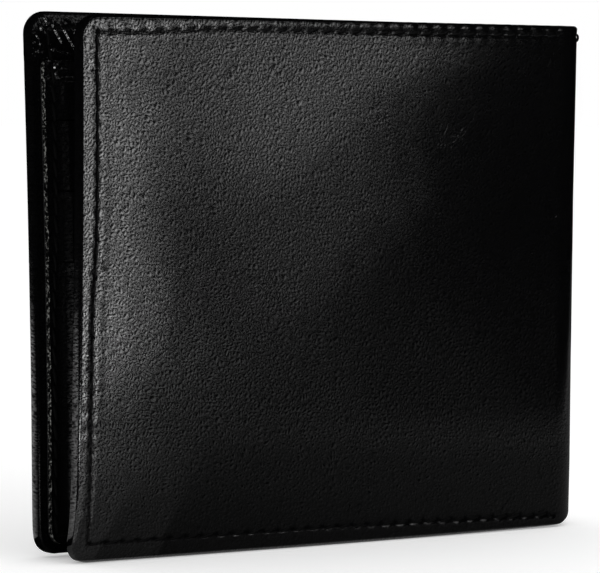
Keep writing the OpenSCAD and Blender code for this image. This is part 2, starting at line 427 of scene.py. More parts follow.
def seam_section(q, beat, low, lumps):
    """Depth of the pressed seam, and rise of the leather on both sides of it."""
    w = sizes()
    pressed = -w.groove * (1 - 0.15 * low) * hump(q, *GROOVE) * (1 + 0.3 * beat)
    scallop = np.where(low > 0, 1.3 * (1 - 0.95 * beat), 1 - 0.75 * beat)
    raised = w.puff * scallop * hump(q, *BORDER_PUFF) * lumps
    raised += 0.4 * w.puff * hump(q, *INNER_PUFF) * (1 - 0.4 * beat) * lumps
    return pressed, raised


def painted_seam_shade(q, beat, low, fade, to_corner):
    """How much painted shade darkens the seam's line, with its holes and the one at the seam's corner."""
    width = SEAM_SHADE_W + 0.06 * low + (HOLE_SHADE_W + 0.17 * low) * unit(beat) ** 3
    dark = 0.95 * np.exp(-((q - 0.12 * low * beat) / width) ** 4) * fade
    return np.maximum(dark, np.exp(-(to_corner / CORNER_HOLE_SHADE) ** 4))


def seam_relief(piece, leaf):
    """Presses the seam into the cover, puffs its border, lays the pleats of the corner, and paints shade
    along the seam's line and on the turned-in leather.
    """
    w = sizes()
    points, normals = points_of(piece), points_of(piece, "normal")
    number = LEAVES.index(leaf)
    s, depth, z = along(points)
    below = HEIGHT - z
    distance, run = seam_distance(s, z)
    q = distance / MM
    outside = depth < w.edge_t * 0.55
    # The beat is 1 at a hole and -1 midway between two
    beat = np.cos(2 * math.pi * run / w.pitch)
    q += 0.10 * np.sin(2 * math.pi * run / w.pitch) * np.exp(-np.abs(q))
    lumps = 1 + waves(points, LUMPS, number + 1)
    by_fold = unit(1 - (s - LEAF_W) / LOW_FADE)
    fade_low = np.where((z < HEIGHT / 2) & (s > LEAF_W), by_fold, 1)
    low = np.where(z < LOW_BORDER, 1, 0)
    pressed, raised = seam_section(q, beat, low, lumps)
    dark = painted_seam_shade(q, beat, low, fade_low, np.hypot(s - side_seam(z), below - top_seam(s)))
    corner = (~outside) & (s < PLEATED_W) & (z > HEIGHT - w.turn_w - MM)
    fold = np.where(corner, pleat_height(s, below), 0)
    # Inside, painted shade lowers the turned-in leather's gloss except on the pleats' crests and in the
    # rough spots
    rough_spot = np.minimum(sum(crumple_shares(s, below)), 1)
    painted_turn_in_shade = 0.85 * unit(1 - np.abs(fold) / (0.12 * MM)) * (1 - rough_spot)
    # The seam attribute holds painted shade: along the seam's line outside, on the turned-in leather inside
    layer = piece.data.attributes.new("seam", "FLOAT", "POINT")
    layer.data.foreach_set("value", np.where(outside, dark, painted_turn_in_shade))
    front = (pressed + raised) * fade_low
    back = (0.55 * pressed + 0.35 * raised) * np.where(z > HEIGHT - w.turn_w, 1, 0.3) * fade_low
    lift = np.where(outside, front, back)
    for height, rise in CROSS_PUCKERS:
        band = unit(1 - np.abs(s / MM - 2.2) / 2.6)
        lift += np.where(outside, rise * MM * band * hump(z / MM, height, 0.45), 0)
    broad = waves(points, BROAD, 11 + number)
    fine = waves(points, FINE, 21 + number)
    inner = unit(q / 6)
    lift += np.where(outside, (broad + fine) * inner, fine * 0.6)
    seam_end = unit((WIDTH / 2 - points[:, 0]) / BEND_FADE) ** 0.5
    crumpled = ~outside & (z > HEIGHT - 2 * w.turn_w)
    fold += np.where(crumpled, crumple_height(points, s, below), 0)
    bend_share = np.where(s > LEAF_W, seam_end, 1)
    set_points(piece, points + normals * ((lift * bend_share + fold)[:, None]))


# Steps round a quarter of the edge's section and of a corner
EDGE_TURNS = 5
CORNER_TURNS = 9


def edge_steps(w):
    """Steps of the turned edge in section, as (inwards, depth), from the outer face round the
    edge to the end of the turned-in leather."""
    corner, r, t = w.corner_r, w.edge_r, w.edge_t
    flat = max(1, round((corner - r) / w.mesh_step))
    path = [(corner - (corner - r) * (k + 1) / flat, 0) for k in range(flat)]
    turns = [QUARTER * k / EDGE_TURNS for k in range(EDGE_TURNS + 1)]
    path += [(r - r * math.sin(a), r - r * math.cos(a)) for a in turns[1:]]
    path += [(r - r * math.cos(a), t - r + r * math.sin(a)) for a in turns]
    path += [(r + (corner - r) * (k + 1) / flat, t) for k in range(flat)]
    count = round((w.turn_w - corner) / w.mesh_step)
    path += [(corner + (w.turn_w - corner) * (k + 1) / count, t) for k in range(count)]
    last, steps = (corner, 0), []
    for point in path:
        steps.append((point[0] - last[0], point[1] - last[1]))
        last = point
    return steps


def cover_skin(leaf):
    """The cover leather of one leaf and its half of the bend, as one hide turned in along its
    edges: a grid, its borders drawn round the edge, its corners and its bend spun."""
    w = sizes()
    left, low, high = w.corner_r, w.corner_r, HEIGHT - w.corner_r
    piece = leaf_grid(leaf + "_cover_hide", left, LEAF_W, low, high, 0, w.mesh_step, False)
    x_left = left - WIDTH / 2
    x_turn = w.turn_w - WIDTH / 2
    front, back = MERGE - FOLD_R, w.edge_t - FOLD_R - MERGE
    steps = edge_steps(w)
    edit(piece, "EDGE")
    pick_edges(piece, lambda p: abs(p.z - low) < MERGE)
    pull([(0, d, n) for n, d in steps])
    pick_edges(piece, lambda p: abs(p.z - high) < MERGE and p.y < front)
    pull([(0, d, -n) for n, d in steps])
    pick_faces(piece, lambda p: p.y > back and p.x < x_turn and low < p.z < high)
    bpy.ops.mesh.delete(type="FACE")
    bpy.ops.mesh.select_mode(type="EDGE")
    pick_edges(piece, lambda p: abs(p.x - x_left) < MERGE and p.y < front
               and low - MERGE < p.z < high + MERGE)
    pull([(n, d, 0) for n, d in steps])
    for z, turn in ((low, -1), (high, 1)):
        pick_edges(piece, lambda p: abs(p.z - z) < MERGE and p.x < x_left + MERGE)
        spin(CORNER_TURNS, turn * QUARTER, (x_left, 0, z), (0, 1, 0))
        merge_doubles()
    pick_edges(piece, lambda p: abs(p.x - X_FOLD) < MERGE)
    spin(round(FOLD_R * QUARTER / w.mesh_step), QUARTER, (X_FOLD, 0, 0), (0, 0, 1))
    merge_doubles()
    pick_faces(piece, lambda p: p.y > back and pleated(p))
    bpy.ops.mesh.subdivide(number_cuts=4)
    pick_faces(piece, lambda p: p.y < front and near_seam(p))
    bpy.ops.mesh.subdivide(number_cuts=1)
    face_outwards()
    return piece


def pleated(p):
    """Whether a place on the turned-in leather lies in its pleated corner."""
    w = sizes()
    return HEIGHT - p.z < w.turn_w + MM and p.x + WIDTH / 2 < PLEATED_W


def near_seam(p):
    """Whether a place on the flat face lies by the seam's line."""
    distance, _ = seam_distance(p.x + WIDTH / 2, p.z)
    return abs(distance) < 1.3 * MM


# How far the map of the turned-in side lies beside that of the outer side, in metres
BACK_SHIFT = 0.13


def unroll(piece):
    """Gives the leather its own map, rolled out flat along the surface."""
    w = sizes()
    mesh = piece.data
    s, depth, z = along(points_of(piece))
    r, t = w.edge_r, w.edge_t
    left, low, high = w.corner_r, w.corner_r, HEIGHT - w.corner_r
    du = np.minimum(s - left, 0)
    dz = np.where(z < low, z - low, np.where(z > high, z - high, 0))
    reach = np.maximum(np.hypot(du, dz), 1e-9)
    inner = np.minimum(reach, w.corner_r - r)
    past = np.clip(np.arctan2(np.maximum(depth, 0), r + 1e-9), 0, QUARTER) * r * 1.3
    rim = np.maximum(reach - (w.corner_r - r), 0) + past
    grow = np.where(depth > 0.05 * MM, (inner + rim) / reach, 1)
    flat_u = np.where(reach > 1e-8, s - du + du * grow, s)
    flat_v = np.where(reach > 1e-8, z - dz + dz * grow, z)
    faces = mesh.polygons
    back_of = np.array([np.mean(depth[list(f.vertices)]) > t - 0.25 * r for f in faces])
    on_back = np.repeat(back_of, [f.loop_total for f in faces])
    at = corners_of(mesh)
    write_map(mesh, np.where(on_back, s[at] + BACK_SHIFT, flat_u[at]), np.where(on_back, z[at], flat_v[at]))


def corners_of(mesh):
    """The point of each face corner."""
    loops = np.zeros(len(mesh.loops), int)
    mesh.loops.foreach_get("vertex_index", loops)
    return loops


def write_map(mesh, u, v):
    """Writes the map on the face corners, in tenths of a metre."""
    layer = mesh.uv_layers.new(name="grain")
    layer.data.foreach_set("uv", (np.stack([u, v], 1) * 10).ravel())


def flat_map(piece, shift=0.0):
    """Gives a sheet its own map along its surface."""
    s, _, z = along(points_of(piece))
    at = corners_of(piece.data)
    write_map(piece.data, s[at] + shift, z[at])


# How far a leaf's free edge bows inwards, in mm: all along it, more with its height, and by the
# bottom, with the height at which that part has faded
FRONT_BOW = (0.75, 1.2, 2.8, 4.2)
REAR_BOW = (-0.1, -4.85, 0.7, 4.0)
BOW_HEIGHT = 90 * MM
# How far the rear leaf's lower free corner stands out
CORNER_OUT = 0.6 * MM
# The arch of the fold's bottom: how far inside the outer faces it starts, and the heights up to
# which the arch, the lift of the bottom edges and the fold's bulge fade
ARCH_INSET, ARCH_REACH = 0.4 * MM, 16 * MM
LIFT_REACH, BULGE_REACH = 30 * MM, 48 * MM


def bow(leaf, s, z):
    """Depth by which a leaf bows off flat: nothing at the fold, most at the free corners."""
    z = np.maximum(z, 0)
    if leaf == "front":
        even, grown, low, reach = FRONT_BOW
        share = unit(z / HEIGHT) ** 4
    else:
        even, grown, low, reach = REAR_BOW
        share = np.clip(z / BOW_HEIGHT, 0, 1.1) ** 1.5
    edge = even + grown * share + low * np.exp(-z / (reach * MM))
    return edge * MM * unit(1 - s / LEAF_W) ** 2


def settle(piece, leaf):
    """Bows the piece with its leaf, draws up the bottom of the bend, and mirrors a rear piece."""
    w = sizes()
    points = points_of(piece)
    s, _, z = along(points)
    points[:, 1] += bow(leaf, s, z)
    # The bottom of the bend is an arc over the fold's width
    half = FOLD_R - ARCH_INSET
    radius = (half ** 2 + w.fold_rise ** 2) / (2 * w.fold_rise)
    arch = w.fold_rise - radius + np.sqrt(np.maximum(radius ** 2 - points[:, 1] ** 2, 0))
    fade = unit(1 - z / ARCH_REACH) ** 2
    points[:, 2] += np.where(s > LEAF_W, np.maximum(arch, 0) * fade, 0)
    share = unit(s / LEAF_W)
    if leaf == "rear":
        points[:, 2] += w.free_lift * (1 - share)
        corner = unit(1 - s / w.corner_r) * unit(1 - z / w.corner_r)
        points[:, 0] -= CORNER_OUT * corner
        points[:, 2] -= CORNER_OUT * corner
    points[:, 2] += w.fold_lift * share ** 6 * unit(1 - z / LIFT_REACH)
    bend = unit((s - LEAF_W) / (FOLD_R * QUARTER))
    points[:, 0] += w.fold_bulge * np.sqrt(bend) * unit(1.25 - z / BULGE_REACH)
    set_points(piece, points)
    if leaf == "rear":
        edit(piece, "FACE")
        bpy.ops.mesh.select_all(action="SELECT")
        bpy.ops.transform.mirror(constraint_axis=(False, True, False), center_override=(0, 0, 0))
        bpy.ops.mesh.flip_normals()
        close_edit()


def bend_with_fold(piece):
    """Works the piece's place, turn and size into its points."""
    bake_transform(piece)


def smooth(piece, degrees=35):
    only(piece)
    bpy.ops.object.shade_smooth_by_angle(angle=math.radians(degrees))


# Materials

class Nodes:
    """Adds nodes to a tree and links them."""

    def __init__(self, tree):
        self.tree = tree

    def node(self, kind, inputs=None, **settings):
        made = self.tree.nodes.new("ShaderNode" + kind)
        for key, value in settings.items():
            setattr(made, key, value)
        for key, value in (inputs or {}).items():
            self.feed(made.inputs[key], value)
        return made

    def feed(self, socket, value):
        if isinstance(value, bpy.types.NodeSocket):
            self.tree.links.new(value, socket)
        elif isinstance(value, bpy.types.Node):
            self.tree.links.new(value.outputs[0], socket)
        else:
            socket.default_value = value

    def math(self, operation, a, b=0.0):
        return self.node("Math", {0: a, 1: b}, operation=operation)

    def spread(self, value, from_low, from_high, to_low, to_high):
        """Maps a range of values to another."""
        return self.node("MapRange", {"Value": value, "From Min": from_low, "From Max": from_high,
                                      "To Min": to_low, "To Max": to_high})

    def tint(self, share, dark, light):
        """Mixes two colours by a share."""
        made = self.node("Mix", data_type="RGBA")
        self.feed(made.inputs["Factor"], share)
        self.feed(made.inputs["A"], (*dark, 1))
        self.feed(made.inputs["B"], (*light, 1))
        return made.outputs["Result"]

    def looked_at(self):
        """1 for what is seen straight on, in a gloss or through a clear material, and else 0."""
        path = self.node("LightPath").outputs
        seen = self.math("MAXIMUM", path["Is Camera Ray"], path["Is Glossy Ray"])
        return self.math("MAXIMUM", seen, path["Is Transmission Ray"])


class Recipe(Nodes):
    """Builds one material's nodes."""

    def __init__(self, name):
        self.material = bpy.data.materials.new(name)
        self.material.use_nodes = True
        super().__init__(self.material.node_tree)
        self.shader = self.tree.nodes["Principled BSDF"]

    def set(self, **values):
        """Sets the shader's own sockets, with each word's underscores as spaces."""
        for key, value in values.items():
            self.feed(self.shader.inputs[key.replace("_", " ")], value)

    def map(self, scale, angle=0.0, own_map=True):
        """Texture coordinates on the piece's own map, or on its place, scaled and turned."""
        if own_map:
            source = self.node("UVMap", uv_map="grain").outputs[0]
        else:
            source = self.node("TexCoord").outputs["Object"]
        return self.node("Mapping", {"Vector": source, "Scale": scale, "Rotation": (0, 0, angle)})

    def noise(self, at, detail=2.0, **settings):
        """Noise with features as big as the coordinates' unit."""
        inputs = {"Vector": at, "Scale": 1.0, "Detail": detail}
        inputs.update({key.title(): value for key, value in settings.items()})
        return self.node("TexNoise", inputs)

    def slant(self, source, long_mm, wide_mm, degrees):
        """Coordinates whose unit is long along a slanted direction and narrow across it."""
        size = (long_mm / 100, wide_mm / 100, 1)
        turned = {"Vector": source, "Scale": size, "Rotation": (0, 0, math.radians(degrees))}
        return self.node("Mapping", turned, vector_type="TEXTURE")


def leather(name, base, cell_mm, gloss, depth, shine):
    """Smooth, semi-gloss leather: small slanted grain cells with pits, and few fine creases. Its specular
    level carries painted light: a painted highlight and painted shade on the cells' flanks, and painted
    shade in the pits and along the creases.
    """
    m = Recipe(name)
    wander = m.noise(m.map((14, 14, 1)))
    shift = m.node("VectorMath", {0: wander.outputs["Color"], 1: (0.5, 0.5, 0.5)}, operation="SUBTRACT")
    shift = m.node("VectorMath", {0: shift, "Scale": 0.03}, operation="SCALE")
    flow = m.node("VectorMath", {0: m.map((1, 1, 1)), 1: shift}, operation="ADD")

    def cells(du, dv):
        moved = m.node("VectorMath", {0: flow, 1: (du / 100, dv / 100, 0)}, operation="ADD")
        cell = {"Vector": m.slant(moved, cell_mm * 1.4, cell_mm, 55), "Scale": 1.0, "Randomness": 0.85}
        return m.node("TexVoronoi", cell, feature="DISTANCE_TO_EDGE").outputs["Distance"]

    # Grooves between the cells, and the cells' flanks from light to dark: a painted highlight on one flank
    # of each cell and painted shade on the other, in the specular level
    groove = m.spread(cells(0, 0), 0.0, 0.12, 0.0, 1.0)
    lean = m.math("SUBTRACT", cells(-0.13, 0.10), cells(0.13, -0.10))
    fine = m.noise(m.map((100 / 0.22, 100 / 0.22, 1)), 1.0).outputs["Fac"]
    # Creases, only in places, with painted shade along them in the specular level
    crease = m.noise(m.slant(flow, 9.0, 4.5, 28), 3.0, distortion=0.5).outputs["Fac"]
    line = m.math("ABSOLUTE", m.math("SUBTRACT", crease, 0.5))
    few = m.noise(m.map((9, 9, 1)), 1.0).outputs["Fac"]
    where = m.spread(few, 0.52, 0.66, 0.0, 1.0)
    fold = m.math("MULTIPLY", m.spread(line, 0.0, 0.012, 1.0, 0.0), where)
    height = m.math("ADD", m.math("MULTIPLY", groove, 0.4), m.math("MULTIPLY", fine, 0.8))
    height = m.math("SUBTRACT", height, m.math("MULTIPLY", fold, 1.2))
    # The grain is worn flat towards the bottom edge, where its painted flank light and shade, its speckle
    # and its painted pit shade fade
    height_at = m.node("SeparateXYZ", {"Vector": m.node("TexCoord").outputs["Object"]}).outputs["Z"]
    worn = m.spread(height_at, 2 * MM, 26 * MM, 0.3, 1.0)
    lean = m.math("MULTIPLY", lean, m.math("MULTIPLY", worn, 5.0))
    speckle = m.spread(fine, 0.3, 0.7, -1.05, 1.05)
    # Painted light in the specular level: the flanks' painted highlight and shade, a random speckle, then
    # painted shade in the pits and along the creases
    grain = m.math("ADD", m.math("ADD", lean, 1.05), m.math("MULTIPLY", speckle, worn))
    pits = m.math("MULTIPLY", m.spread(groove, 0.0, 1.0, 0.55, 0.0), worn)
    grain = m.math("SUBTRACT", m.math("SUBTRACT", grain, pits), m.math("MULTIPLY", fold, 0.6))
    # The seam attribute paints shade on the seam and the turned-in leather, and a painted highlight where
    # it is below zero, on the rough spots
    painted_gloss_share = m.math("SUBTRACT", 1.0, m.node("Attribute", attribute_name="seam").outputs["Fac"])
    glint = m.math("MULTIPLY", m.math("MAXIMUM", grain, 0.06), m.math("MULTIPLY", painted_gloss_share, shine))
    light = [min(1, c * 2.0) for c in base]
    m.set(Normal=m.node("Bump", {"Height": height, "Strength": 1.0, "Distance": depth}),
          Base_Color=m.tint(groove, base, light), Specular_IOR_Level=glint, Roughness=gloss)
    return m.material


def cloth(name, base):
    """Fine black twill."""
    m = Recipe(name)
    twill = m.map((100 / 0.42, 100 / 0.42, 1), math.radians(45))
    wave = m.node("TexWave", {"Vector": twill, "Scale": 0.5, "Distortion": 0.4, "Detail": 1.0},
                  wave_type="BANDS").outputs["Fac"]
    yarn = m.noise(m.map((420, 90, 1), math.radians(20))).outputs["Fac"]
    height = m.math("ADD", wave, m.math("MULTIPLY", yarn, 0.5))
    light = [min(1, c * 2.0) for c in base]
    m.set(Normal=m.node("Bump", {"Height": height, "Distance": 0.00006}),
          Base_Color=m.tint(wave, base, light), Roughness=0.72, Sheen_Weight=0.06,
          Sheen_Roughness=0.5, Specular_IOR_Level=0.25)
    return m.material


def rough_matter(name, base, light_share, grain_mm, roughness, depth, glint, cut=(0.35, 0.65)):
    """Matte, fibrous matter: thread, cut edges and board. The cut is the range of the noise that
    goes from the base colour to its lighter share."""
    m = Recipe(name)
    per = 1000 / grain_mm
    fibre = m.noise(m.map((per, per, per), own_map=False), 4.0, roughness=0.65).outputs["Fac"]
    light = [min(1, c * light_share) for c in base]
    m.set(Base_Color=m.tint(m.spread(fibre, cut[0], cut[1], 0, 1), base, light),
          Normal=m.node("Bump", {"Height": fibre, "Distance": depth}),
          Roughness=roughness, Specular_IOR_Level=glint)
    return m.material


FINISHES = {}


def finish(kind):
    """The material of a kind, made once."""
    c = colours()
    recipes = {
        "cover": lambda: leather("cover_hide_black", c.leather, cell_mm=0.62, gloss=0.105,
                                 depth=0.000003, shine=0.48),
        "pocket": lambda: leather("pocket_hide_black", c.pocket, cell_mm=0.6, gloss=0.26,
                                  depth=0.000006, shine=0.36),
        "lining": lambda: cloth("lining_twill", c.lining),
        "thread": lambda: rough_matter("sewing_thread", c.thread, light_share=1.6, grain_mm=0.12,
                                       roughness=0.7, depth=0.00003, glint=0.12),
        # The cut edge's sparse light speckles in the base colour are partly its fibres and partly a painted
        # glint
        "raw_edge": lambda: rough_matter("cut_leather_edge", c.raw_edge, light_share=90, grain_mm=0.5,
                                         roughness=0.5, depth=0.0001, glint=0.04, cut=(0.52, 0.62)),
        "board": lambda: rough_matter("bonded_board", c.board, light_share=1.5, grain_mm=0.5,
                                      roughness=0.9, depth=0.00004, glint=0.2),
    }
    if kind not in FINISHES:
        FINISHES[kind] = recipes[kind]()
    return FINISHES[kind]


def dress(piece, *kinds):
    """Gives the piece the materials of these kinds and no others."""
    piece.data.materials.clear()
    for kind in kinds:
        piece.data.materials.append(finish(kind))


# Stitches

# Half a stitch's length as a share of the pitch, its height as a share of the thread's width, and how
# far its ends dip into their holes
STITCH_LONG, STITCH_HIGH, STITCH_DIP = 0.52, 0.42, 0.24 * MM
# How far a stitch may be turned, in degrees, and lifted off its place
STITCH_TURNS, STITCH_LIFTS = 3, 0.03
# Where the thread's two ends show on the fold: degrees round it, and the length of what shows
KNOT_AT, KNOT_LONG = 53, 1.5 * MM


def stitch_model(w):
    """One stitch: a thread that comes up out of one hole and goes down the next."""
    only_none()
    bpy.ops.mesh.primitive_uv_sphere_add(segments=8, ring_count=7, radius=1)
    piece = bpy.context.object
    piece.name = "stitch_model"
    points = points_of(piece)
    long = np.sign(points[:, 2]) * np.abs(points[:, 2]) ** 0.8
    across = np.hypot(points[:, 0], points[:, 1])
    grow = np.where(across > 1e-6, np.maximum(across, 1e-6) ** -0.35, 1)
    shaped = np.stack([long * w.pitch * STITCH_LONG, points[:, 0] * grow * w.thread_w / 2,
                       points[:, 1] * grow * w.thread_w * STITCH_HIGH], 1)
    shaped[:, 2] -= STITCH_DIP * np.abs(long) ** 2.6
    set_points(piece, shaped)
    edit(piece, "FACE")
    face_outwards()
    return piece


def sew(name, runs, model):
    """Copies the stitch along runs of (places, slant in degrees) and joins them into one piece."""
    draw = random.Random(name)
    copies = []
    for places, lean in runs:
        for k in range(len(places) - 1):
            (a, up_a), (b, up_b) = places[k:k + 2]
            up = (up_a + up_b).normalized()
            ahead = (b - a).normalized()
            side = up.cross(ahead).normalized()
            slant = math.radians(lean + draw.uniform(-STITCH_TURNS, STITCH_TURNS))
            ahead = (ahead * math.cos(slant) + side * math.sin(slant)).normalized()
            side = up.cross(ahead).normalized()
            middle = (a + b) / 2 + up * draw.uniform(-STITCH_LIFTS, STITCH_LIFTS) * MM
            turn = Matrix((ahead, side, up)).transposed().to_4x4()
            stretch = Matrix.Diagonal(((b - a).length / sizes().pitch, 1, 1, 1))
            copy = model.copy()
            copy.data = model.data.copy()
            copy.matrix_world = Matrix.Translation(middle) @ turn @ stretch
            bpy.context.scene.collection.objects.link(copy)
            copies.append(copy)
    piece = join(copies)
    apply_place()
    piece.name = name
    piece.data.name = name
    return piece


def seam_line(start, end, where, outward=1):
    """Hole places evenly along a line, each with its outward direction. where(t) gives
    (s, depth, z, lift)."""
    count = max(1, round(abs(end - start) / sizes().pitch))
    places = []
    for k in range(count + 1):
        s, depth, z, lift = where(start + (end - start) * k / count)
        here = place(s, depth, z)
        up = (place(s, depth - outward * 0.1 * MM, z) - here).normalized()
        places.append((here + up * lift, up))
    return places


def outer_seam(leaf, model):
    """The stitches that show on the outer face: along the top, the free edge and the bottom, the
    few that lock the bottom seam by the fold, and the thread's ends at the top of the fold."""
    w = sizes()
    sink = -0.22 * MM
    low_end = LEAF_W - 1 * MM
    top = seam_line(w.side_margin, BEND_END, lambda t: (t, 0, HEIGHT - top_seam(t), sink))
    side = seam_line(low_seam(0.0), HEIGHT - w.top_margin_free, lambda t: (side_seam(t), 0, t, sink))
    low = seam_line(w.side_margin_low, low_end,
                    lambda t: (t, 0, low_seam(t) - 0.05 * MM, sink + 0.07 * MM))
    lock = seam_line(LEAF_W - 4.6 * MM, low_end,
                     lambda t: (t, 0, low_seam(t) + 0.75 * MM, sink + 0.1 * MM))
    runs = [(top, 9), (side, 9), (low, 17), (lock, 9)]
    if leaf == "front":
        at = LEAF_W + math.radians(KNOT_AT) * FOLD_R
        knot_top = HEIGHT - w.top_margin + 0.5 * MM
        ends = [place(at, 0, knot_top - KNOT_LONG * k) + Vector((0.2, -0.15, 0)) * MM for k in (0, 1)]
        runs.append(([(end, Vector((0.8, -0.6, 0))) for end in ends], 9))
    return sew(leaf + "_outer_stitches", runs, model)


def inner_seam(leaf, model):
    """The stitches that show on the inner side, through the turned edge or the panel's border."""
    w = sizes()
    lift = 0.02 * MM
    border = w.edge_t + w.lining_t + 2 * w.pocket_t
    pocket_end = PANEL_HIGH.x + WIDTH / 2

    def over(s, z):
        return border if z < PANEL_HIGH.z and s < pocket_end else w.edge_t

    top = seam_line(w.side_margin, BEND_END,
                    lambda t: (t, w.edge_t, HEIGHT - top_seam(t), -0.1 * MM), -1)
    side = seam_line(low_seam(0.0), HEIGHT - w.top_margin_free,
                     lambda t: (side_seam(t), over(w.side_margin, t), t, lift), -1)
    low = seam_line(w.side_margin_low, LEAF_W - 1 * MM,
                    lambda t: (t, over(t, 0), max(low_seam(t), 2.9 * MM), lift), -1)
    fold_side = seam_line(low_seam(0.0) + 0.5 * MM, PANEL_HIGH.z - 1.5 * MM,
                          lambda t: (pocket_end - 1.5 * MM, border + STACK_T, t, lift), -1)
    runs = [(places, -9) for places in (top, side, low, fold_side)]
    return sew(leaf + "_inner_stitches", runs, model)


# Inner sheets

def round_corners(s, z, u0, z0, z1, r_low, r_high):
    """Draws the free corners of a sheet in to round ones."""
    for r, edge, sign in ((r_low, z0, 1), (r_high, z1, -1)):
        if r <= 0:
            continue
        a = unit((u0 + r - s) / r)
        b = unit((edge + sign * r - z) * sign / r)
        near = (a > 0) & (b > 0)
        s = np.where(near, u0 + r - r * a * np.sqrt(1 - b * b / 2), s)
        z = np.where(near, edge + sign * (r - r * b * np.sqrt(1 - a * a / 2)), z)
    return s, z


def round_off(piece, u0, z0, z1, r_low, r_high):
    """Rounds the free corners of a flat sheet."""
    points = points_of(piece)
    s, z = round_corners(points[:, 0] + WIDTH / 2, points[:, 2].copy(), u0, z0, z1, r_low, r_high)
    points[:, 0], points[:, 2] = s - WIDTH / 2, z
    set_points(piece, points)


# How much higher the stacked sheets' border lies by the fold
STACK_T = 0.4 * MM
# The slackness of a sheet: height and size
SLACK = (0.10 * MM, 17 * MM)
# Sewn borders of the inner panel: their flat width, and the slope between them and the raised face
SEWN_W, SLOPE_W = 2.8 * MM, 0.9 * MM
# Distance between a sheet's points: pockets, their thin tails, linings and boards
POCKET_STEP, TAIL_STEP, LINING_STEP, BOARD_STEP = 0.75 * MM, 4 * MM, 1.5 * MM, 3 * MM
# A slot's tail: its thickness, how much narrower it is at each side, and its overlap with the sheet
TAIL_T, TAIL_INSET, OVERLAP = 0.22 * MM, 4.5 * MM, 0.2 * MM
# Depths of the board and of the two linings' faces below the cover's outer face
BOARD_DEPTH, SHELL_DEPTH, INNER_DEPTH = 1.36 * MM, 1.7 * MM, 3.1 * MM
# The linings go round the fold above this height, in so many steps
LINING_FREE, LINING_TURNS = 6.2 * MM, 12
# The corner of the rear panel that shows beside the front leaf, from the free edge and the top
SHOWN_W, SHOWN_H = 8 * MM, 15 * MM


def lay_sheet(piece, spec, seed):
    """Gives a flat sheet its sewn borders, raised face, lip and slight slackness."""
    w = sizes()
    points = points_of(piece)
    s, z = points[:, 0] + WIDTH / 2, points[:, 2].copy()
    u0, u1, z0, z1 = spec["box"]
    full = np.ones(len(s))
    free, fold = ramp(s - u0, SEWN_W, SLOPE_W), ramp(u1 - s, SEWN_W, SLOPE_W)
    bottom = ramp(z - z0, SEWN_W, SLOPE_W) if spec["sewn_low"] else full
    top = ramp(z1 - z, SEWN_W, SLOPE_W) if spec["top_border"] else full
    depth = spec["low"] + (spec["face"] - spec["low"]) * free * bottom
    depth = spec["fold_border"] + (depth - spec["fold_border"]) * fold
    if spec["top_border"]:
        depth = spec["top_border"] + (depth - spec["top_border"]) * top
    depth += free * bottom * fold * top * waves(points, SLACK, seed)
    if spec["rumpled"]:
        depth += crumple_height(points, s, HEIGHT - z)
    for line, sink in spec["creases"]:
        depth -= sink * MM * hump(z / MM, line / MM, 0.28)
        depth += 0.5 * sink * MM * hump(z / MM, line / MM + 0.8, 0.5)
    # Sewn borders puff between the stitches
    low_line = np.abs(z - w.low_margin - 0.3 * MM) if spec["sewn_low"] else full
    q = np.minimum(np.abs(s - w.side_margin), low_line)
    depth -= 0.10 * MM * hump(q / MM, 0, 0.45)
    at_edge = s < u0 + 0.1 * MM
    s, z = round_corners(s, z, u0, z0, z1, spec["r_low"], spec["r_high"])
    s = s + np.where(at_edge, 0.22 * MM * cloud(points, 1.1 * MM, seed + 5), 0)
    # Painted highlight: the seam attribute goes below zero in the rough spots, which raises the leather's
    # specular level there
    if spec["rumpled"]:
        layer = piece.data.attributes.new("seam", "FLOAT", "POINT")
        layer.data.foreach_set("value", -1.5 * sum(crumple_shares(s, HEIGHT - z)))
    points[:, 0], points[:, 1], points[:, 2] = s - WIDTH / 2, depth - FOLD_R, z
    set_points(piece, points)


def panel_sheet(leaf, name, spec, thickness, step, seed):
    """A sheet of pocket leather, sewn round its borders, with its wall and cut edges."""
    piece = leaf_grid(leaf + "_" + name, *spec["box"], 0, step, True)
    if spec["rumpled"]:
        edit(piece, "FACE")
        pick_faces(piece, lambda p: p.x < SHOWN_W - WIDTH / 2 and p.z > HEIGHT - SHOWN_H)
        bpy.ops.mesh.subdivide(number_cuts=3)
        close_edit()
    lay_sheet(piece, spec, seed)
    flat_map(piece, 0.02 * seed)
    wall_up(piece, thickness)
    return piece


def wall_up(piece, thickness):
    """Gives a sheet its thickness behind its shown face, with its cut edges as their own finish."""
    dress(piece, "pocket", "raw_edge")
    apply_modifier(piece, "SOLIDIFY", thickness=thickness, offset=-1, use_even_offset=True,
                   material_offset_rim=1)
    smooth(piece)


def cad_span(node):
    low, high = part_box(node)
    return low.x + WIDTH / 2, high.x + WIDTH / 2, low.z, high.z


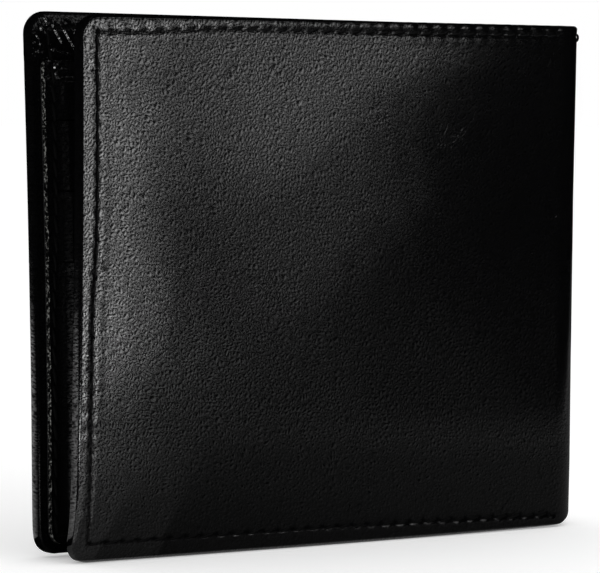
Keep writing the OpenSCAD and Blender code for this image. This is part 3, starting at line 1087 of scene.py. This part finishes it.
def pockets(leaf):
    """The inner panel: slip pocket, facing, two card slots and the front pocket."""
    w = sizes()
    t = w.pocket_t
    slip_border = w.edge_t + w.lining_t
    slot_border = slip_border + t
    by_fold = slot_border + STACK_T
    # Name, borders by the free edge, the fold and the top, face, sewn below, and crease below the top
    sheets = (
        ("slip_pocket", slip_border, slip_border, w.edge_t + 0.9 * MM, 3.7, True, None),
        ("pocket_facing", slot_border, by_fold, w.edge_t + 1.1 * MM, 4.2, False, (2.7, 0.16)),
        ("card_slot_1", slot_border, by_fold, None, 4.8, False, (1.3, 0.12)),
        ("card_slot_2", slot_border, by_fold, None, 5.4, False, (1.3, 0.12)),
        ("card_pocket", slot_border, by_fold, None, 6.0, True, (1.3, 0.12)),
    )
    in_front = {"card_slot_1": "card_slot_2", "card_slot_2": "card_pocket"}
    for k, (name, low, fold_border, top_border, face, sewn_low, crease) in enumerate(sheets):
        u0, u1, z0, z1 = cad_span("front_" + name)
        below = cad_span("front_" + in_front[name])[3] if name in in_front else None
        spec = {
            "box": (u0, u1, z0 if below is None else below + OVERLAP, z1),
            "low": low + t, "face": face * MM, "fold_border": fold_border + t,
            "top_border": top_border and top_border + 0.1 * MM, "sewn_low": sewn_low,
            "creases": () if crease is None else ((z1 - crease[0] * MM, crease[1]),),
            "r_low": w.corner_r - w.setback if sewn_low else 0,
            "r_high": 1 * MM if name in ("slip_pocket", "pocket_facing") else 0,
            "rumpled": leaf == "rear" and top_border is not None,
        }
        seed = 31 + k + 10 * LEAVES.index(leaf)
        piece = panel_sheet(leaf, name + "_leather", spec, t * 0.96, POCKET_STEP, seed)
        if below is not None:
            box = (u0 + TAIL_INSET, u1 - TAIL_INSET, z0, below + OVERLAP)
            piece = join((piece, slot_tail(leaf + "_" + name + "_tail", box, face * MM - t * 0.5)))
        settle(piece, leaf)
        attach(piece, leaf + "_leaf")
        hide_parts(leaf + "_" + name)


def slot_tail(name, box, face):
    """The thin cloth tail of a card slot, hanging inside the slot in front of it."""
    piece = leaf_grid(name, *box, face, TAIL_STEP, True)
    flat_map(piece)
    dress(piece, "pocket")
    apply_modifier(piece, "SOLIDIFY", thickness=TAIL_T, offset=-1)
    return piece


def lining(leaf, name, low, face, sewn):
    """One half of a lining cloth: its leaf, and its half of the bend spun round the fold."""
    w = sizes()
    node = leaf + "_" + name
    u0, _, z0, z1 = cad_span("front_" + name)
    piece = leaf_grid(node + "_cloth", u0, LEAF_W, z0, z1, face, LINING_STEP, True)
    if sewn:
        points = points_of(piece)
        lift = ramp(points[:, 0] + WIDTH / 2 - u0, SEWN_W, MM) * ramp(points[:, 2] - z0, SEWN_W, MM)
        points[:, 1] = low + (face - low) * lift - FOLD_R
        set_points(piece, points)
    r = w.corner_r - u0
    round_off(piece, u0, z0, z1, r, MM if sewn else r)
    edit(piece, "EDGE")
    pick_edges(piece, lambda p: abs(p.x - X_FOLD) < MERGE and p.z > LINING_FREE)
    spin(LINING_TURNS, QUARTER, (X_FOLD, 0, 0), (0, 0, 1))
    merge_doubles()
    close_edit()
    flat_map(piece, 0.3)
    dress(piece, "lining")
    apply_modifier(piece, "SOLIDIFY", thickness=w.lining_t * 0.93, offset=-1)
    smooth(piece)
    settle(piece, leaf)
    bend_with_fold(piece)
    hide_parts(node, "spine_" + name)


def board(leaf):
    """The stiffening board inside a leaf."""
    w = sizes()
    u0, u1, z0, z1 = cad_span("front_stiffener")
    piece = leaf_grid(leaf + "_board", u0, u1, z0, z1, BOARD_DEPTH, BOARD_STEP, True)
    r = w.corner_r - u0
    round_off(piece, u0, z0, z1, r, r)
    dress(piece, "board")
    apply_modifier(piece, "SOLIDIFY", thickness=w.board_t * 0.9, offset=-1)
    apply_modifier(piece, "BEVEL", width=0.08 * MM, segments=2, limit_method="ANGLE")
    smooth(piece)
    settle(piece, leaf)
    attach(piece, leaf + "_leaf")
    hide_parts(leaf + "_stiffener")


# Studio

def soft_light(name, at, size, turned, level):
    """A soft rectangular light that the camera doesn't see: its middle, size, turn and brightness."""
    only_none()
    bpy.ops.object.light_add(type="AREA", location=at)
    lamp = bpy.context.object
    lamp.name = name
    lamp.data.shape = "RECTANGLE"
    lamp.data.size, lamp.data.size_y = size
    lamp.data.energy = level * math.pi * size[0] * size[1]
    lamp.rotation_euler = turned.to_euler()
    lamp.visible_camera = False


def panel_light(name, x, z, size, roll, level):
    """An upright soft light in front of the wallet."""
    facing = Vector((0, 1, 0)).to_track_quat("-Z", "Y").to_matrix()
    soft_light(name, (x, LIGHT_Y, z), size, facing @ Matrix.Rotation(math.radians(roll), 3, "Z"), level)


def on_floor(corner, size, turn, z):
    """Middle of a rectangle on the floor: from its left back corner, its width and length, and
    the turn of its left side from straight to the front towards the right."""
    middle = Vector(corner) + Matrix.Rotation(turn, 2) @ Vector((size[0] / 2, -size[1] / 2))
    return middle.x, middle.y, z


def floor_light(name, corner, size, degrees, level):
    """A soft light that lies on the floor and shines up."""
    turn = math.radians(degrees)
    facing = Matrix.Rotation(turn, 3, "Z") @ Matrix.Rotation(math.pi, 3, "X")
    soft_light(name, on_floor(corner, size, turn, 2 * MM), size, facing, level)


def dark_card(card, shade):
    """Makes a stage piece a dark card that only the leather's gloss sees."""
    matte = Recipe(card.name + "_matte")
    matte.set(Base_Color=(shade, shade, shade, 1), Specular_IOR_Level=0.0)
    card.data.materials.append(matte.material)
    card.visible_camera = False
    card.visible_shadow = False
    card.visible_diffuse = False


def low_card(name, corner, size, degrees, z, shade):
    """A card that lies on the floor."""
    only_none()
    turn = math.radians(degrees)
    bpy.ops.mesh.primitive_plane_add(size=1, location=on_floor(corner, size, turn, z),
                                     rotation=(0, 0, turn))
    card = bpy.context.object
    card.name = name
    card.scale = (*size, 1)
    apply_place()
    dark_card(card, shade)


def dark_hood(radius, height, roof_height, roof_radius):
    """A black round screen about the stage that leans over it at the top."""
    only_none()
    bpy.ops.mesh.primitive_cylinder_add(vertices=36, radius=radius, depth=height,
                                        end_fill_type="NOTHING", location=(0, 0, height / 2))
    hood = bpy.context.object
    hood.name = "dark_hood"
    apply_place()
    edit(hood, "EDGE")
    pick_edges(hood, lambda p: p.z > height - MERGE)
    bpy.ops.mesh.extrude_edges_move(TRANSFORM_OT_translate={"value": (0, 0, roof_height - height)})
    shrink = roof_radius / radius
    bpy.ops.transform.resize(value=(shrink, shrink, 1), center_override=(0, 0, roof_height))
    close_edit()
    dark_card(hood, BLACK)


class WALLET_OT_cover(bpy.types.Operator):
    """Makes the cover leather of both leaves, turned in and bent round the fold"""
    bl_idname = "wallet.cover"
    bl_label = "Cover leather"

    def execute(self, context):
        w = sizes()
        for leaf in LEAVES:
            piece = cover_skin(leaf)
            seam_relief(piece, leaf)
            unroll(piece)
            dress(piece, "cover", "raw_edge")
            apply_modifier(piece, "SOLIDIFY", thickness=w.cover_t * 0.95, offset=-1,
                           use_even_offset=False, material_offset_rim=1)
            smooth(piece, 50)
            settle(piece, leaf)
            bend_with_fold(piece)
            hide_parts(leaf + "_cover", "spine_leather")
        return {"FINISHED"}


class WALLET_OT_boards(bpy.types.Operator):
    """Makes the stiffening boards"""
    bl_idname = "wallet.boards"
    bl_label = "Stiffening boards"

    def execute(self, context):
        for leaf in LEAVES:
            board(leaf)
        return {"FINISHED"}


class WALLET_OT_linings(bpy.types.Operator):
    """Makes the shell lining and the inner lining"""
    bl_idname = "wallet.linings"
    bl_label = "Linings"

    def execute(self, context):
        w = sizes()
        for leaf in LEAVES:
            lining(leaf, "shell_lining", SHELL_DEPTH, SHELL_DEPTH, False)
            lining(leaf, "inner_lining", w.edge_t + w.lining_t, INNER_DEPTH, True)
        return {"FINISHED"}


class WALLET_OT_pockets(bpy.types.Operator):
    """Makes the pockets and card slots of both leaves"""
    bl_idname = "wallet.pockets"
    bl_label = "Pockets and card slots"

    def execute(self, context):
        for leaf in LEAVES:
            pockets(leaf)
        return {"FINISHED"}


class WALLET_OT_seams(bpy.types.Operator):
    """Sews the wallet: the stitches on the outer faces and on the inner sides"""
    bl_idname = "wallet.seams"
    bl_label = "Stitches"

    def execute(self, context):
        model = stitch_model(sizes())
        for leaf in LEAVES:
            for piece in (outer_seam(leaf, model), inner_seam(leaf, model)):
                dress(piece, "thread")
                smooth(piece, 60)
                settle(piece, leaf)
                bend_with_fold(piece)
        bpy.data.objects.remove(model)
        return {"FINISHED"}


# Camera found from the photograph's perspective
CAMERA_AT = (-0.4014, -0.5197, 0.0860)
CAMERA_YAW, CAMERA_PITCH, CAMERA_ROLL = (math.radians(a) for a in (37.33, 3.57, 0.98))
CAMERA_FOCAL_PX = 3721
IMAGE_WIDTH_PX = 600
SENSOR_MM = 36

# Lights in front: name, x and z of the middle, size, roll in degrees, level
LIGHT_Y = -0.43
PANEL_LIGHTS = (
    ("top_light", 0.278, 0.149, (0.106, 0.177), 28, 1.3),
    ("middle_light", 0.280, 0.076, (0.074, 0.134), 36, 0.42),
    ("left_light", 0.160, 0.106, (0.140, 0.213), 0, 3.0),
    ("edge_light", 0.03, 0.12, (0.12, 0.22), 0, 2.6),
    ("rim_light", 0.20, 0.45, (0.40, 0.30), 0, 0.8),
)
# Lights on the floor: name, left back corner, size, turn in degrees, level
SLANT = 36
FLOOR_LIGHTS = (
    ("low_light", (-0.0352, -0.2688), (0.126, 0.26), SLANT, 2.05),
    ("pleat_light", (-0.24, -0.09), (0.13, 0.13), 0, 6.0),
    ("back_light", (-0.35, 0.45), (0.42, 0.44), 0, 1.1),
    ("back_fold_light", (0.07, 0.45), (0.15, 0.24), 0, 1.1),
    ("back_step_light", (0.07, 0.21), (0.065, 0.11), 0, 1.1),
)
# Dark cards on the floor. The near and far ones lie in steps, which fade what the leather mirrors
BLACK = 0.002
NEAR_START, NEAR_STEP = (-0.065, -0.002), 0.012
NEAR_SHADES = (0.45, 0.25, 0.12)
FAR_START = (0.045, -0.175)
FAR_STEPS = ((0, 0.28), (0.02, 0.20), (0.05, 0.14), (0.09, 0.08), (0.14, 0.03), (0.20, BLACK))


def lay_cards():
    """The dark cards about the wallet and the dark hood round the stage."""
    low_card("back_card", (-1.2, 1.2), (2.4, 1.2), 0, 0.3 * MM, BLACK)
    low_card("left_card", (-1.2, 0), (1.1, 1.2), 0, 0.35 * MM, BLACK)
    for k, shade in enumerate(NEAR_SHADES):
        start = (NEAR_START[0] + k * NEAR_STEP, NEAR_START[1])
        low_card("near_card_%d" % (k + 1), start, (0.5, 0.2), SLANT, (0.5 + 0.1 * k) * MM, shade)
    for k, (off, shade) in enumerate(FAR_STEPS):
        start = (FAR_START[0] + off, FAR_START[1])
        low_card("far_card_%d" % (k + 1), start, (1.2, 1.2), SLANT, (0.8 + 0.05 * k) * MM, shade)
    dark_hood(1.0, 1.2, 1.5, 0.08)


def lay_floor():
    """The pale floor, white where the camera or a gloss sees it."""
    only_none()
    bpy.ops.mesh.primitive_plane_add(size=6, location=(0, 0, -0.05 * MM))
    floor = bpy.context.object
    floor.name = "studio_floor"
    ground = Recipe("studio_floor_white")
    ground.set(Base_Color=(*colours().floor, 1), Roughness=1.0, Specular_IOR_Level=0.0,
               Emission_Color=(1, 1, 1, 1),
               Emission_Strength=ground.math("MULTIPLY", ground.looked_at(), 0.27))
    floor.data.materials.append(ground.material)


def set_camera(scene):
    data = bpy.data.cameras.new("camera")
    camera = bpy.data.objects.new("camera", data)
    scene.collection.objects.link(camera)
    data.sensor_width = SENSOR_MM
    data.lens = CAMERA_FOCAL_PX / IMAGE_WIDTH_PX * SENSOR_MM
    data.clip_start, data.clip_end = 0.01, 20
    look = Euler((QUARTER - CAMERA_PITCH, 0, -CAMERA_YAW)).to_matrix().to_4x4()
    roll = Matrix.Rotation(CAMERA_ROLL, 4, "Z")
    camera.matrix_world = Matrix.Translation(CAMERA_AT) @ look @ roll
    scene.camera = camera


def set_sky(scene):
    """A plain world: a soft fill, and white where it is looked at."""
    scene.world = bpy.data.worlds.new("studio_sky")
    scene.world.use_nodes = True
    sky = Nodes(scene.world.node_tree)
    sky.tree.nodes.clear()
    fill, white = (sky.node("Background", {"Color": (1, 1, 1, 1), "Strength": level})
                   for level in (0.8, 1.0))
    mix = sky.node("MixShader", {0: sky.looked_at(), 1: fill, 2: white})
    sky.node("OutputWorld", {0: mix})


class WALLET_OT_studio(bpy.types.Operator):
    """Sets up the floor, the soft lights, the background and the camera"""
    bl_idname = "wallet.studio"
    bl_label = "Studio"

    def execute(self, context):
        lay_floor()
        set_camera(context.scene)
        for light in PANEL_LIGHTS:
            panel_light(*light)
        for light in FLOOR_LIGHTS:
            floor_light(*light)
        lay_cards()
        set_sky(context.scene)
        context.scene.view_settings.view_transform = "Standard"
        return {"FINISHED"}


class WALLET_PT_panel(bpy.types.Panel):
    """Lists the wallet's steps, sizes and colours"""
    bl_label = "Wallet"
    bl_idname = "WALLET_PT_panel"
    bl_space_type = "VIEW_3D"
    bl_region_type = "UI"
    bl_category = "Wallet"

    def draw(self, context):
        for step in STEPS:
            self.layout.operator(step.bl_idname)
        for group in (context.scene.wallet_sizes, context.scene.wallet_colours):
            for name in group.bl_rna.properties.keys():
                if name not in ("rna_type", "name"):
                    self.layout.prop(group, name)


STEPS = (WALLET_OT_cover, WALLET_OT_boards, WALLET_OT_linings, WALLET_OT_pockets,
         WALLET_OT_seams, WALLET_OT_studio)
CLASSES = (WalletSizes, WalletColours, *STEPS, WALLET_PT_panel)


def register():
    for cls in CLASSES:
        bpy.utils.register_class(cls)
    bpy.types.Scene.wallet_sizes = bpy.props.PointerProperty(type=WalletSizes)
    bpy.types.Scene.wallet_colours = bpy.props.PointerProperty(type=WalletColours)


def unregister():
    del bpy.types.Scene.wallet_colours
    del bpy.types.Scene.wallet_sizes
    for cls in reversed(CLASSES):
        bpy.utils.unregister_class(cls)


def main():
    register()
    bpy.ops.wallet.cover()
    bpy.ops.wallet.boards()
    bpy.ops.wallet.linings()
    bpy.ops.wallet.pockets()
    bpy.ops.wallet.seams()
    bpy.ops.wallet.studio()


if __name__ == "__main__":
    main()
